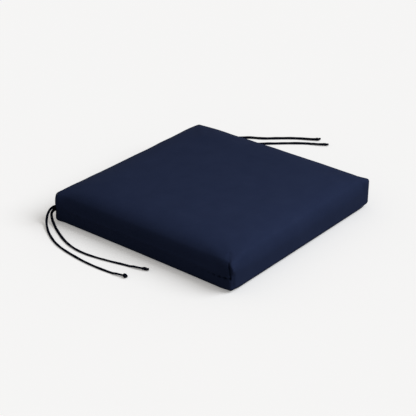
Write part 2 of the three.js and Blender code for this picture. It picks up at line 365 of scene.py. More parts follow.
@dataclass(frozen=True)
class NavyCloth:
    """Matt plain-woven navy cloth. Colours are linear, lengths are metres."""

    name: str = "navy canvas"
    shade: Triple = (0.0131, 0.0203, 0.0516)
    deep_shade: Triple = (0.0104, 0.0163, 0.0425)
    lint_shade: Triple = (0.05, 0.06, 0.09)
    thread_spacing: float = 0.55 * MM
    thread_depth: float = 0.05 * MM
    thread_bump: float = 0.6
    tone_share: float = 0.22
    cloud_share: float = 0.4
    cloud_scale: float = 26.0
    cloud_roughness: float = 0.08
    lint_share: float = 0.3
    lint_scale: float = 900.0
    # Painted shade: how much and how dark the colour is darkened where the weave's threads dip
    dip_shade_share: float = 0.35
    dip_shade_darkness: float = 0.55
    roughness: float = 0.82
    sheen: float = 0.02
    sheen_roughness: float = 0.45
    sheen_shade: Triple = (0.55, 0.65, 1.0)
    gloss: float = 0.04

    def material(self) -> bpy.types.Material:
        """Builds the finish.

        Returns:
            A material that reads the piece's UV map in metres for its weave and Object
            coordinates for its clouds and lint.
        """
        cloth = Dressing(self.name)
        coordinates = cloth.node("ShaderNodeTexCoord").outputs
        links = {"Place": coordinates["UV"], "Threads per Metre": 1 / self.thread_spacing}
        weave = cloth.node("ShaderNodeGroup", links, node_tree=WeaveGroup.get()).outputs
        links = {
            "Place": coordinates["Object"], "Cloud Scale": self.cloud_scale, "Lint Scale": self.lint_scale,
        }
        wear = cloth.node("ShaderNodeGroup", links, node_tree=WearGroup.get()).outputs
        clouds = cloth.math("MULTIPLY", wear["Clouds"], self.cloud_share)
        depth = cloth.math("ADD", clouds, cloth.math("MULTIPLY", weave["Tone"], self.tone_share))
        colour = cloth.mix(Blend.COLOURS, depth, (*self.shade, 1), (*self.deep_shade, 1))
        # Painted shade: the colour darkens toward a shadow colour where the weave's threads dip between each
        # other
        crease = cloth.math("MULTIPLY", cloth.math("SUBTRACT", 1.0, weave["Height"]), self.dip_shade_share)
        shadow = tuple(self.dip_shade_darkness * value for value in self.deep_shade)
        colour = cloth.mix(Blend.COLOURS, crease, colour, (*shadow, 1))
        lint = cloth.math("MULTIPLY", wear["Lint"], self.lint_share)
        bump = {"Height": weave["Height"], "Distance": self.thread_depth, "Strength": self.thread_bump}
        return cloth.finished({
            "Base Color": cloth.mix(Blend.COLOURS, lint, colour, (*self.lint_shade, 1)),
            "Roughness": cloth.math("MULTIPLY_ADD", wear["Clouds"], self.cloud_roughness, self.roughness),
            "Normal": cloth.node("ShaderNodeBump", bump).outputs[0],
            "Specular IOR Level": self.gloss,
            "Sheen Weight": self.sheen,
            "Sheen Roughness": self.sheen_roughness,
            "Sheen Tint": (*self.sheen_shade, 1),
        })


@dataclass(frozen=True)
class PaleFloor:
    """The plain pale ground. Its bounce is kept low, so that the cloth's sides stay dark."""

    name: str = "pale floor"
    seen_shade: Triple = (0.945, 0.950, 0.962)
    glow: float = 0.238
    bounce_shade: Triple = (0.5, 0.5, 0.5)

    def material(self) -> bpy.types.Material:
        """Builds the finish.

        Returns:
            A matt material that is paler to the camera than to bounced light.
        """
        ground = Dressing(self.name)
        seen = ground.node("ShaderNodeLightPath").outputs["Is Camera Ray"]
        return ground.finished({
            "Base Color": ground.mix(Blend.COLOURS, seen, (*self.bounce_shade, 1), (*self.seen_shade, 1)),
            "Emission Strength": ground.math("MULTIPLY", seen, self.glow),
            "Emission Color": (1, 1, 1, 1),
            "Roughness": 1.0,
            "Specular IOR Level": 0.0,
        })


# The view


@dataclass(frozen=True)
class Viewpoint:
    """The camera, set where the photograph was taken from. Lengths are millimetres."""

    place: Triple = (-1667.35, -1352.62, 1120.99)
    aim: Triple = (9.485, 20.231, 0.0)
    lens: float = 109.56
    sensor: float = 36.0
    farthest: float = 50000.0

    def build(self) -> bpy.types.Object:
        """Makes the camera and sets it as the scene's.

        Returns:
            The camera object.
        """
        data = bpy.data.cameras.new("camera")
        data.lens = self.lens
        data.sensor_width = self.sensor
        data.sensor_fit = "HORIZONTAL"
        data.clip_end = self.farthest * MM
        camera = add_object("camera", data)
        camera.location = Vector(self.place) * MM
        camera.rotation_euler = looking(self.place, self.aim)
        bpy.context.scene.camera = camera
        return camera


# The ties


@dataclass(frozen=True)
class Route:
    """A smooth curve through a list of points in millimetres, traced in short straight pieces."""

    points: list[Triple]
    pieces: int = 24

    def line(self, step: float) -> np.ndarray:
        """Follows the curve.

        Args:
            step: about how far apart the rows are, in millimetres.

        Returns:
            Rows of x, y, z, in metres.
        """
        traced = self._trace(np.array(self.points) * MM)
        reach = distances(traced)
        stations = np.linspace(0, reach[-1], max(2, round(reach[-1] / (step * MM)) + 1))
        return np.column_stack([np.interp(stations, reach, traced[:, i]) for i in range(3)])

    def _trace(self, points: np.ndarray) -> np.ndarray:
        """Follows a centripetal curve through the points.

        Args:
            points: rows of x, y, z.

        Returns:
            Rows of x, y, z, close together.
        """
        padded = np.concatenate([[2 * points[0] - points[1]], points, [2 * points[-1] - points[-2]]])
        share = np.linspace(0, 1, self.pieces, endpoint=False)[:, None]
        traced = []
        for before, start, stop, after in zip(padded, padded[1:], padded[2:], padded[3:]):
            pairs = ((before, start), (start, stop), (stop, after))
            first, middle, last = (math.sqrt(np.linalg.norm(b - a)) for a, b in pairs)
            ahead = (stop - start) / middle
            leave = (start - before) / first - (stop - before) / (first + middle) + ahead
            arrive = ahead - (after - start) / (middle + last) + (after - stop) / last
            leave = leave * middle
            arrive = arrive * middle
            square = 3 * (stop - start) - 2 * leave - arrive
            cube = 2 * (start - stop) + leave + arrive
            traced.append(start + leave * share + square * share**2 + cube * share**3)
        return np.concatenate([*traced, points[-1:]])


@dataclass(frozen=True)
class Strap:
    """The section of a folded strap and how it is swept along a line. Lengths are millimetres."""

    width: float = 5.4
    thickness: float = 3.0
    squareness: float = 2.6
    groove_depth: float = 0.2
    groove_half_width: float = 0.16
    girth_share: float = 1.6
    sides: int = 24

    def section(self, turn: float, scale: float = 1.0) -> tuple[np.ndarray, np.ndarray]:
        """One ring round the strap.

        Args:
            turn: how far the flat side is turned about the line, in radians.
            scale: size against the full section.

        Returns:
            Sideways and upward distances from the line, in metres.
        """
        angle = np.linspace(0, 2 * math.pi, self.sides, endpoint=False)
        power = 2 / self.squareness
        side = np.sign(np.cos(angle)) * np.abs(np.cos(angle)) ** power * self.width / 2
        rise = np.sign(np.sin(angle)) * np.abs(np.sin(angle)) ** power * self.thickness / 2
        groove = np.abs(np.angle(np.exp(1j * (angle - math.pi / 2))))
        rise = rise - self.groove_depth * bell(groove, self.groove_half_width)
        side, rise = side * MM * scale, rise * MM * scale
        return side * math.cos(turn) - rise * math.sin(turn), side * math.sin(turn) + rise * math.cos(turn)

    @staticmethod
    def _directions(line: np.ndarray) -> tuple[list[np.ndarray], list[np.ndarray]]:
        """The directions that the section is laid out in, with no twist from one row to the next.

        Args:
            line: rows of x, y, z.

        Returns:
            The sideways and the upward direction at each row.
        """
        heading = np.gradient(line, axis=0)
        heading /= np.linalg.norm(heading, axis=1)[:, None]
        side = np.cross(heading[0], UP)
        sides, rises = [], []
        for ahead in heading:
            side = side - ahead * np.dot(side, ahead)
            side = side / np.linalg.norm(side)
            sides.append(side)
            rises.append(np.cross(side, ahead))
        return sides, rises

    def reach_below(self, line: np.ndarray, turns: np.ndarray, scales: np.ndarray) -> np.ndarray:
        """How far the strap reaches below the middle of its section.

        Args:
            line: rows of x, y, z.
            turns: the turn of the section at each row.
            scales: the size of the section at each row.

        Returns:
            The distance at each row, in metres.
        """
        below = []
        for side, rise, turn, scale in zip(*self._directions(line), turns, scales):
            across, up = self.section(turn, scale)
            below.append(-(across * side[2] + up * rise[2]).min())
        return np.array(below)

    def sweep(self, line: np.ndarray, turns: np.ndarray, scales: np.ndarray, bm: bmesh.types.BMesh) -> None:
        """Extrudes the strap along a line, closed at both ends, with a UV map in metres.

        Args:
            line: rows of x, y, z.
            turns: the turn of the section at each row.
            scales: the size of the section at each row.
            bm: the bmesh that it is added to.
        """
        ring = bmesh.ops.create_circle(bm, segments=self.sides, radius=MM, cap_ends=False)["verts"]
        edges = [bm.edges.get(pair) for pair in zip(ring, [*ring[1:], ring[0]])]
        first = ring
        along = distances(line)
        for i, (place, side, rise) in enumerate(zip(line, *self._directions(line))):
            if i:
                last = ring
                grown = bmesh.ops.extrude_edge_only(bm, edges=edges)["geom"]
                fresh = {item for item in grown if isinstance(item, bmesh.types.BMVert)}
                ring = [next(e.other_vert(v) for e in v.link_edges if e.other_vert(v) in fresh) for v in last]
                edges = [item for item in grown if isinstance(item, bmesh.types.BMEdge)]
                edges = [edge for edge in edges if fresh.issuperset(edge.verts)]
                faces = [item for item in grown if isinstance(item, bmesh.types.BMFace)]
                self._lay_cloth(bm, faces, ((along[i - 1], last), (along[i], ring)))
            across, up = self.section(turns[i], scales[i])
            for vert, a, u in zip(ring, across, up):
                vert.co = place + side * a + rise * u
        for end in (first, ring):
            bmesh.ops.contextual_create(bm, geom=end)

    def _lay_cloth(self, bm: bmesh.types.BMesh, faces: list[bmesh.types.BMFace], rings: tuple) -> None:
        """Gives the faces between two rings their places on the cloth.

        Args:
            bm: the bmesh that they are in.
            faces: the faces.
            rings: for each ring, how far along the strap it is, in metres, and its vertices in order.
        """
        uv = bm.loops.layers.uv.verify()
        around = (self.width + self.thickness) * self.girth_share * MM / self.sides
        spots = {vert: (rank, along) for along, ring in rings for rank, vert in enumerate(ring)}
        for face in faces:
            closes = {spots[loop.vert][0] for loop in face.loops} == {0, self.sides - 1}
            for loop in face.loops:
                rank, along = spots[loop.vert]
                rank = self.sides if closes and rank == 0 else rank
                loop[uv].uv = (rank * around, along)


@dataclass(frozen=True)
class Knot:
    """The overhand knot at a tie's end and its short tail. Lengths are millimetres."""

    strand: Strap = Strap(width=3.9, thickness=3.1, squareness=2.3, sides=18)
    end: Strap = Strap(width=5.2, thickness=4.2, squareness=3.2, sides=18)
    end_turn: float = 0.35
    wrap_radius: float = 2.3
    wrap_flatness: float = 0.9
    wrap_start: float = 0.6
    wrap_lean: float = 0.35
    wraps: float = 1.8
    wrap_length: float = 5.6
    sinking: float = 0.12
    sunk_radius: float = 0.25
    thinning: float = 0.1
    thinnest: float = 0.7
    tail_turn: float = 0
    tail_length: float = 4.6
    tail_bend: float = 0.35
    core_steps: int = 12
    step: float = 0.45
    lowest: float = 1.9

    def build(self, name: str, start: np.ndarray, heading: np.ndarray) -> bpy.types.Object:
        """Makes the knot as one piece.

        Args:
            name: the piece's name.
            start: where the tie runs into the knot, in metres.
            heading: the tie's direction there.

        Returns:
            The knot with its tail.
        """
        bm = bmesh.new()
        forward = heading / np.linalg.norm(heading)
        side = np.cross(forward, UP)
        side /= np.linalg.norm(side)
        axes = np.array([forward, side, np.cross(side, forward)])
        middle = start + forward * (self.wrap_length / 2 + self.strand.width / 2) * MM
        coil, core = (path @ axes * MM + middle for path in (self._coil(), self._core()))
        for path in (coil, core):
            path[:, 2] = np.maximum(path[:, 2], self.lowest * MM)
        self.strand.sweep(coil, np.zeros(len(coil)), self._tapered(len(coil)), bm)
        self.end.sweep(core, np.full(len(core), self.end_turn), np.ones(len(core)), bm)
        finish_shell(bm)
        return add_piece(name, bm)

    @staticmethod
    def _inwards(count: int, low: float, reach: float) -> tuple[np.ndarray, np.ndarray]:
        """Eases both ends of a path.

        Args:
            count: the number of places along it.
            low: the value at its two ends.
            reach: the share of it over which the value rises to 1.

        Returns:
            The share of the path that lies before each place, and the value there.
        """
        share = np.linspace(0, 1, count)
        return share, low + (1 - low) * smooth(np.minimum(share, 1 - share), 0, reach)

    def _coil(self) -> np.ndarray:
        """The strand that wraps round the tie, sinking in at both ends.

        Returns:
            Rows of places forwards, sideways and upwards, in millimetres.
        """
        count = round(2 * math.pi * self.wraps * self.wrap_radius / self.step)
        share, radius = self._inwards(count, self.sunk_radius, self.sinking)
        radius = self.wrap_radius * radius
        angle = 2 * math.pi * self.wraps * share + self.wrap_start
        along = (share - 0.5) * self.wrap_length + self.wrap_lean * np.sin(angle)
        return np.column_stack([along, radius * np.cos(angle), radius * self.wrap_flatness * np.sin(angle)])

    def _tapered(self, count: int) -> np.ndarray:
        """Section sizes that shrink where the wrap sinks in."""
        return self._inwards(count, self.thinnest, self.thinning)[1]

    def _core(self) -> np.ndarray:
        """The strand through the middle, which turns off into the tail.

        Returns:
            Rows of places forwards, sideways and upwards, in millimetres.
        """
        turn = math.radians(self.tail_turn)
        ahead, bend = np.array([1.0, 0, 0]), np.array([math.cos(turn), -math.sin(turn), 0.0])
        straight = np.linspace(-self.wrap_length / 2, self.wrap_length / 2, self.core_steps)[:, None] * ahead
        reach = np.linspace(self.step, self.tail_length, self.core_steps)[:, None]
        blend = smooth(reach, 0, self.tail_length * self.tail_bend)
        steps = np.diff(reach, axis=0, prepend=0) * (ahead * (1 - blend) + bend * blend)
        return np.concatenate([straight, straight[-1] + np.cumsum(steps, axis=0)])


@dataclass(frozen=True)
class Tie:
    """One narrow folded strap with a knot at its free end. Lengths are millimetres.

    The strap lies on the ground wherever its route is lower than lying. Its twists are pairs of a
    share of its length and an angle in degrees, and small waves of twist and width keep it from
    looking drawn with a ruler.
    """

    name: str
    route: list[Triple]
    knot: Knot
    twists: list[tuple[float, float]]
    strap: Strap = Strap()
    step: float = 1.6
    clearance: float = 0.05
    lying: float = 2.75
    settling_rounds: int = 3
    tucked: float = 3.2
    gathered: float = 0.22
    gathered_reach: float = 0.025
    twist_wave: float = 0.12
    twist_pace: float = 23
    width_wave: float = 0.03
    width_pace: float = 61

    def build(self, finish: bpy.types.Material) -> tuple[bpy.types.Object, bpy.types.Object]:
        """Args:
            finish: the tie cloth.

        Returns:
            The strap and the knot.
        """
        line = Route(self.route).line(self.step)
        start, heading = line[-1], line[-1] - line[-3]
        heading /= np.linalg.norm(heading)
        line = np.concatenate([line, [start + heading * self.tucked * share * MM for share in (0.5, 1)]])
        share = np.linspace(0, 1, len(line))
        phase = len(self.name)
        turns = np.radians(np.interp(share, *zip(*self.twists)))
        turns += self.twist_wave * np.sin(share * self.twist_pace + phase)
        widths = 1 + self.width_wave * np.sin(share * self.width_pace + 2 * phase)
        widths += self.gathered * bell(share, self.gathered_reach)
        self._settle(line, turns, widths)
        bm = bmesh.new()
        self.strap.sweep(line, turns, widths, bm)
        finish_shell(bm)
        strap = add_piece(f"tie_{self.name}_strap", bm)
        knot = self.knot.build(f"tie_{self.name}_knot", start, heading)
        for piece, node in ((strap, f"tie_{self.name}"), (knot, f"knot_{self.name}")):
            piece.data.materials.append(finish)
            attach(piece, BODY)
            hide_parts(node)
        return strap, knot

    def _settle(self, line: np.ndarray, turns: np.ndarray, widths: np.ndarray) -> None:
        """Lays the line so low that the strap just rests on the ground.

        Args:
            line: rows of x, y, z, whose heights change.
            turns: the turn of the section at each row.
            widths: the size of the section at each row.
        """
        lying = line[:, 2] < self.lying * MM
        for _ in range(self.settling_rounds):
            rest = self.strap.reach_below(line, turns, widths) + self.clearance * MM
            line[:, 2] = np.where(lying, rest, line[:, 2])
            line[:, 2] = np.maximum(self._eased(line[:, 2]), rest)

    @staticmethod
    def _eased(heights: np.ndarray) -> np.ndarray:
        """Averages each height with a few neighbours, so that no step shows.

        Args:
            heights: the heights along the line.

        Returns:
            The new heights, with the first one kept.
        """
        weights = np.array([1, 2, 3, 2, 1])
        padded = np.pad(heights, len(weights) // 2, mode="edge")
        eased = np.convolve(padded, weights / weights.sum(), mode="valid")
        eased[0] = heights[0]
        return eased


UPPER_EXIT = 209.55
UPPER_EXIT_HEIGHT = 29.8
LOWER_EXIT = 209.1
LOWER_EXIT_HEIGHT = 24.5
TIE_REST = 2.5
KNOT_REST = 3.28

TIES = (
    Tie(
        "left_outer",
        [
            (-UPPER_EXIT, UPPER_EXIT, UPPER_EXIT_HEIGHT), (-213, 212.5, 29), (-218.5, 215.2, 26.3),
            (-224.1, 215.7, 21.8), (-228.4, 215.5, 16), (-232.2, 213.9, 10), (-236.7, 210.3, 5.4),
            (-253.9, 188.5, TIE_REST), (-265.2, 169.8, TIE_REST), (-274.3, 151.6, TIE_REST),
            (-280.8, 133.3, TIE_REST), (-286.1, 110.6, TIE_REST), (-290.1, 84.7, TIE_REST),
            (-292.6, 58.6, TIE_REST), (-293.3, 31.3, TIE_REST), (-292.2, 5.8, TIE_REST),
            (-290, -14, 2.8), (-288.1, -24.2, KNOT_REST), (-286.8, -29.5, KNOT_REST),
        ],
        knot=Knot(tail_turn=-125, tail_length=5.2),
        strap=Strap(width=4.8, thickness=2.8),
        twists=[(0, 84), (0.15, 80), (0.3, 56), (0.6, 50), (1, 55)],
    ),
    Tie(
        "left_inner",
        [
            (-LOWER_EXIT, LOWER_EXIT, LOWER_EXIT_HEIGHT), (-213, 211, 24), (-216.3, 213.2, 21),
            (-219.1, 213.8, 16.2), (-221.3, 211.6, 11), (-224.6, 206.5, 6.8), (-229, 198.8, 4),
            (-236.6, 185.4, TIE_REST), (-247, 166.4, TIE_REST), (-256, 148.3, TIE_REST),
            (-262.8, 131.2, TIE_REST), (-268, 112.7, TIE_REST), (-270.9, 91.9, TIE_REST),
            (-270.6, 69.1, TIE_REST), (-267.4, 46.5, TIE_REST), (-262.5, 22.6, TIE_REST),
            (-256.9, -0.3, TIE_REST), (-252.3, -20.8, 2.8), (-249.7, -33.4, KNOT_REST),
            (-247.9, -38.6, KNOT_REST),
        ],
        knot=Knot(wrap_radius=1.4, wraps=3.1, wrap_length=9.2, tail_turn=8, tail_length=3.0),
        strap=Strap(width=5.3, thickness=2.7),
        twists=[(0, 80), (0.03, 70), (0.12, 66), (0.3, 74), (0.6, 82), (1, 76)],
    ),
    Tie(
        "right_outer",
        [
            (UPPER_EXIT, UPPER_EXIT, UPPER_EXIT_HEIGHT), (214, 213.7, 29.3), (220.3, 216.6, 26),
            (226, 217.5, 20.8), (230.8, 217, 15), (236, 215.5, 8.5), (243.5, 212.5, 4),
            (255, 207, TIE_REST), (270, 199, TIE_REST), (285, 189.5, TIE_REST), (298, 179, TIE_REST),
            (309.5, 167.5, TIE_REST), (320.5, 153.5, TIE_REST), (332.8, 131.8, TIE_REST),
            (351, 111.2, TIE_REST), (367.7, 91, TIE_REST), (382.9, 70, TIE_REST),
            (395.4, 46.4, KNOT_REST), (398.6, 41.9, KNOT_REST),
        ],
        knot=Knot(wrap_radius=2.0, tail_turn=62, tail_length=5.2),
        twists=[(0, 60), (0.2, 76), (1, 82)],
    ),
    Tie(
        "right_inner",
        [
            (LOWER_EXIT, LOWER_EXIT, LOWER_EXIT_HEIGHT), (213, 212.2, 23.9), (217.4, 214, 21),
            (220.8, 213.4, 16.6), (223.6, 210.6, 11.6), (227.5, 205.5, 7), (233, 198, 3.2),
            (253.7, 173.2, TIE_REST), (269.2, 157.7, TIE_REST), (287.2, 140.2, TIE_REST),
            (305.7, 121.7, TIE_REST), (324.1, 102, TIE_REST), (341.8, 82.5, TIE_REST),
            (357.9, 62.8, TIE_REST), (372.8, 42.2, TIE_REST), (382.4, 21.7, KNOT_REST),
            (385.5, 17.2, KNOT_REST),
        ],
        knot=Knot(wrap_radius=1.4, wraps=3.4, wrap_length=10.4, tail_turn=12, tail_length=3.4),
        twists=[(0, 60), (0.2, 76), (1, 82)],
    ),
)


# The cushion


@dataclass(frozen=True)
class Wave:
    """An uneven wave in the cloth, summed from a few even ones. Lengths are millimetres.

    The spacing is the usual distance from crest to crest, and the seed picks the pattern.
    """

    height: float
    spacing: float
    seed: int
    parts: int = 6
    shortest: float = 0.7
    longest: float = 1.6
    peak: float = 2.6

    def at(self, along: np.ndarray) -> np.ndarray:
        """Works out the wave.

        Args:
            along: places, one number or one row of x, y, z for each point.

        Returns:
            The wave at each place, between about its height below 0 and its height above 0.
        """
        chance = np.random.default_rng(self.seed)
        total = np.zeros(len(along))
        for _ in range(self.parts):
            length = self.spacing * chance.uniform(self.shortest, self.longest)
            if along.ndim == 1:
                travel = along * chance.choice((-1, 1))
            else:
                heading = chance.normal(size=along.shape[1])
                travel = along @ (heading / np.linalg.norm(heading))
            total += np.sin(travel * 2 * math.pi / length + chance.uniform(0, 2 * math.pi))
        return self.height * (total / self.peak)


@dataclass(frozen=True)
class Dent:
    """A crease or a hollow in the cloth, or a raised fold where its depth is below 0.

    Lengths are millimetres. The offset is how far it lies beside the seam that it belongs to.
    """

    depth: float
    half_width: float
    offset: float = 0

    def at(self, distance: np.ndarray) -> np.ndarray:
        """How deep it is at each distance from its seam."""
        return self.depth * bell(distance - self.offset, self.half_width)


@dataclass(frozen=True)
class Band:
    """A stretch of height that fades in from start to full and out from faded to end."""

    start: float
    full: float
    faded: float
    end: float

    def at(self, height: np.ndarray) -> np.ndarray:
        """1 in the stretch and 0 outside it."""
        return smooth(height, self.start, self.full) * (1 - smooth(height, self.faded, self.end))


class Edge(NamedTuple):
    """The top edge of one side, between its corners, in millimetres.

    The roll is how deep it is rounded, the draw how far its middle is drawn in, and the fall how
    far it hangs below the level of the corners.
    """

    roll: float
    draw: float
    fall: float


@dataclass(frozen=True)
class LevelSeam:
    """The seam along the sides and the back, marked most near the worn corner. In millimetres."""

    height: float = 25
    wander: Wave = Wave(0.5, 90, seed=5)
    lift: Dent = Dent(3.0, 28)
    crease: Dent = Dent(1.3, 0.9)
    crease_faint: float = 0.2
    crease_marked: float = 0.85
    shoulder: Dent = Dent(0.9, 3.2)
    shoulder_faint: float = 0.25
    pull: Dent = Dent(0.7, 10)
    gather: Wave = Wave(0.35, 16, seed=3)
    lip: Dent = Dent(-1.1, 4, offset=6)
    stitch: Dent = Dent(7.0, 1.8)
    stitch_spacing: float = 12.5
    stitch_start: float = 3.5
    stitch_slope: Slope = (-0.15, 0.95)
    marked_reach: float = 46

    def depth(self, along: np.ndarray, height: np.ndarray, from_end: np.ndarray) -> np.ndarray:
        """How far the seam draws the cloth in.

        Args:
            along: places along the seam.
            height: heights above the ground.
            from_end: distances from the worn corner.

        Returns:
            The depth at each point.
        """
        from_seam = height - self.height - self.lift.at(from_end) - self.wander.at(along)
        marked = bell(from_end, self.marked_reach)
        depth = self.crease.at(from_seam)
        depth *= self.crease_faint + (self.crease_marked - self.crease_faint) * marked
        turns = (from_end - self.stitch_start) / self.stitch_spacing
        depth += self.stitch.at(from_seam) * marked * smooth(np.cos(2 * math.pi * turns), *self.stitch_slope)
        depth += self.shoulder.at(from_seam) * (self.shoulder_faint + (1 - self.shoulder_faint) * marked)
        depth += self.pull.at(from_seam) + self.lip.at(from_seam) * marked
        return depth + self.gather.at(along) * bell(from_seam, self.pull.half_width)


@dataclass(frozen=True)
class UprightSeam:
    """The short seam down a boxed corner, faint at the plain and the worn one. In millimetres."""

    crease: Dent = Dent(1.3, 0.9)
    shoulder: Dent = Dent(1.4, 3.2)
    pucker: Dent = Dent(2, 8)
    plain_fade: float = 0.6
    worn_crease_fade: float = 0.9
    worn_shoulder_fade: float = 0.85
    worn_foot: Slope = (27, 35)

    def depth(
        self, distance: np.ndarray, height: np.ndarray, plain: np.ndarray, worn: np.ndarray,
    ) -> np.ndarray:
        """How far the seam draws the cloth in.

        Args:
            distance: how far each point is from the nearest upright seam.
            height: heights above the ground.
            plain: how near each point is to the plain corner.
            worn: whether each point is at the worn corner.

        Returns:
            The depth at each point.
        """
        below = worn * (1 - smooth(height, *self.worn_foot))
        creased = (1 - self.plain_fade * plain) * (1 - self.worn_crease_fade * below)
        rounded = (1 - plain) * (1 - self.worn_shoulder_fade * worn)
        return creased * self.crease.at(distance) + rounded * self.shoulder.at(distance)


@dataclass(frozen=True)
class WornCorner:
    """The notch high on the worn corner, the ear beside it and the hollow below. In millimetres."""

    place: Corner = Corner.FRONT_LEFT
    notch: Dent = Dent(4.4, 2.0)
    notch_band: Band = Band(29, 35, 55, 59)
    ear: Dent = Dent(-1.4, 4.5, offset=4.5)
    ear_band: Band = Band(35, 45, 55, 63)
    hollow: Dent = Dent(2.6, 5, offset=4.5)
    hollow_band: Band = Band(4, 12, 33, 45)
    offset: float = 2.2
    lean: float = 0.045
    lean_start: float = 45
    reach: float = 13.5

    def depth(self, distance: np.ndarray, height: np.ndarray) -> np.ndarray:
        """How far the wear draws the cloth in.

        Args:
            distance: how far round the corner each point is from its seam, below 0 on the left.
            height: heights above the ground.

        Returns:
            The depth at each point.
        """
        depth = self.notch.at(distance) * self.notch_band.at(height)
        depth += self.ear.at(distance) * self.ear_band.at(height)
        return depth + self.hollow.at(distance) * self.hollow_band.at(height)


@dataclass(frozen=True)
class TieRoot:
    """The pinch where a pair of ties is sewn in, and the fold beside it. In millimetres."""

    height: float = 27.2
    pinch: Dent = Dent(1.8, 7)
    fold: Dent = Dent(2.4, 2.6, offset=8)
    fold_band: Band = Band(6, 13, 22, 30)

    def depth(self, distance: np.ndarray, height: np.ndarray) -> np.ndarray:
        """How far the ties draw the cloth in, from the distances to the seam and the heights."""
        pinched = self.pinch.at(np.hypot(distance, height - self.height))
        return pinched + self.fold.at(distance) * self.fold_band.at(height)


@dataclass(frozen=True)
class Cover:
    """The filled cover: sizes of its form, its seams and its mesh. Lengths are millimetres.

    The level seam starts where the surface turns from the front to a side, and its pattern on the
    back is shifted by back_shift, so that it differs from the sides' pattern. The warps crowd the
    steps of the mesh towards the edges, the seam and the middle of a roll.
    """

    side: float = 430
    shoulder_height: float = 58.5
    crown: float = 11.7
    crown_power: float = 9
    corner_radius: float = 11
    top_roll: float = 12
    bottom_roll: float = 10
    left: Edge = Edge(roll=28, draw=1.4, fall=21)
    right: Edge = Edge(roll=12, draw=-2.6, fall=5.6)
    back: Edge = Edge(roll=18.3, draw=3.1, fall=1.7)
    front: Edge = Edge(roll=28, draw=-0.3, fall=3.5)
    fall_reach: float = 11
    side_power: float = 8
    upright_squareness: Squareness = ((Corner.FRONT_RIGHT, 2.5), (Corner.FRONT_LEFT, 3.3))
    top_squareness: Squareness = (
        (Corner.FRONT_RIGHT, 7), (Corner.FRONT_LEFT, 2.2), (Corner.BACK_LEFT, 2.9), (Corner.BACK_RIGHT, 1.7),
    )
    base_squareness: Squareness = (
        (Corner.FRONT_RIGHT, 1.35), (Corner.FRONT_LEFT, 1.45), (Corner.BACK_LEFT, 2.8),
    )
    square_reach: float = 16
    seam: LevelSeam = LevelSeam()
    seam_start: Slope = (-0.75, -0.65)
    seam_plain_fade: float = 0.7
    back_shift: float = 1000
    upright: UprightSeam = UprightSeam()
    plain_corner: Corner = Corner.FRONT_RIGHT
    worn: WornCorner = WornCorner()
    tie_root: TieRoot = TieRoot()
    wall_start: Slope = (0.35, 0.8)
    slack: Wave = Wave(0.25, 60, seed=11)
    slack_start: Slope = (2, 12)
    panel_steps: int = 150
    roll_steps: int = 8
    steps_under_seam: int = 8
    steps_over_seam: int = 11
    edge_warp: float = 1.15
    seam_warp: float = 1.6
    roll_warp: float = 1.25
    cube_slack: float = 1e-4

    @property
    def half(self) -> float:
        """Half the side."""
        return self.side / 2

    @property
    def level(self) -> float:
        """Half the level part of a panel."""
        return self.half - self.corner_radius

    @property
    def across(self) -> int:
        """Steps from one side to the other."""
        return self.panel_steps + 2 * self.roll_steps

    @property
    def up(self) -> int:
        """Steps from the underside to the top."""
        return self.steps_under_seam + self.steps_over_seam + 2 * self.roll_steps

    @property
    def seam_unit(self) -> float:
        """How far up the cube the level seam is, from -1 to 1."""
        return (self.roll_steps + self.steps_under_seam) / self.up * 2 - 1

    def grid(self) -> bmesh.types.BMesh:
        """Cuts a cube of side 2 into steps across and up.

        Returns:
            The cut cube.
        """
        bm = bmesh.new()
        bmesh.ops.create_cube(bm, size=2)
        for axis, steps in enumerate((self.across, self.across, self.up)):
            spans = ((edge, edge.verts[0].co[axis] - edge.verts[1].co[axis]) for edge in bm.edges)
            edges = [edge for edge, span in spans if abs(span) > self.cube_slack]
            bmesh.ops.subdivide_edges(bm, edges=edges, cuts=steps - 1, use_grid_fill=True)
        return bm

    def _panel_place(self, unit: np.ndarray, arc: bool = False) -> np.ndarray:
        """Turns places between -1 and 1 into places across the box.

        Args:
            unit: places on the cube.
            arc: measure the rounded corner along its arc, as cloth is, and not along the box.

        Returns:
            Places in millimetres.
        """
        step = np.abs(unit) * self.across / 2
        rolled = step - self.panel_steps / 2
        t = np.clip(step / (self.panel_steps / 2), 0, 1)
        flat = self.level * np.sin(t * self.edge_warp) / math.sin(self.edge_warp)
        angle = self._roll_angle(self.roll_steps - rolled)
        curved = self.level + self.corner_radius * (angle if arc else np.tan(angle))
        return np.sign(unit) * np.where(rolled > 0, curved, flat)

    def _height_place(self, unit: np.ndarray) -> np.ndarray:
        """Turns heights on the cube into heights up the side, with the steps crowded at the seam.

        Args:
            unit: heights between -1 and 1.

        Returns:
            Heights in millimetres.
        """
        step = (unit + 1) / 2 * self.up
        low, high, seam = self.bottom_roll, self.shoulder_height - self.top_roll, self.seam.height
        seam_step = self.roll_steps + self.steps_under_seam
        high_step = seam_step + self.steps_over_seam
        bottom = low - self.bottom_roll * np.tan(self._roll_angle(step))
        top = high + self.top_roll * np.tan(self._roll_angle(self.up - step))
        share = np.clip((seam_step - step) / self.steps_under_seam, 0, 1)
        under = seam - (seam - low) * share**self.seam_warp
        share = np.clip((step - seam_step) / self.steps_over_seam, 0, 1)
        over = seam + (high - seam) * share**self.seam_warp
        below = [step < self.roll_steps, step <= seam_step, step <= high_step]
        return np.select(below, [bottom, under, over], top)

    def _roll_angle(self, step: np.ndarray) -> np.ndarray:
        """How far the surface has turned at each step from the box's edge, in radians."""
        return math.pi / 4 * (1 - np.clip(step / self.roll_steps, 0, 1) ** self.roll_warp)

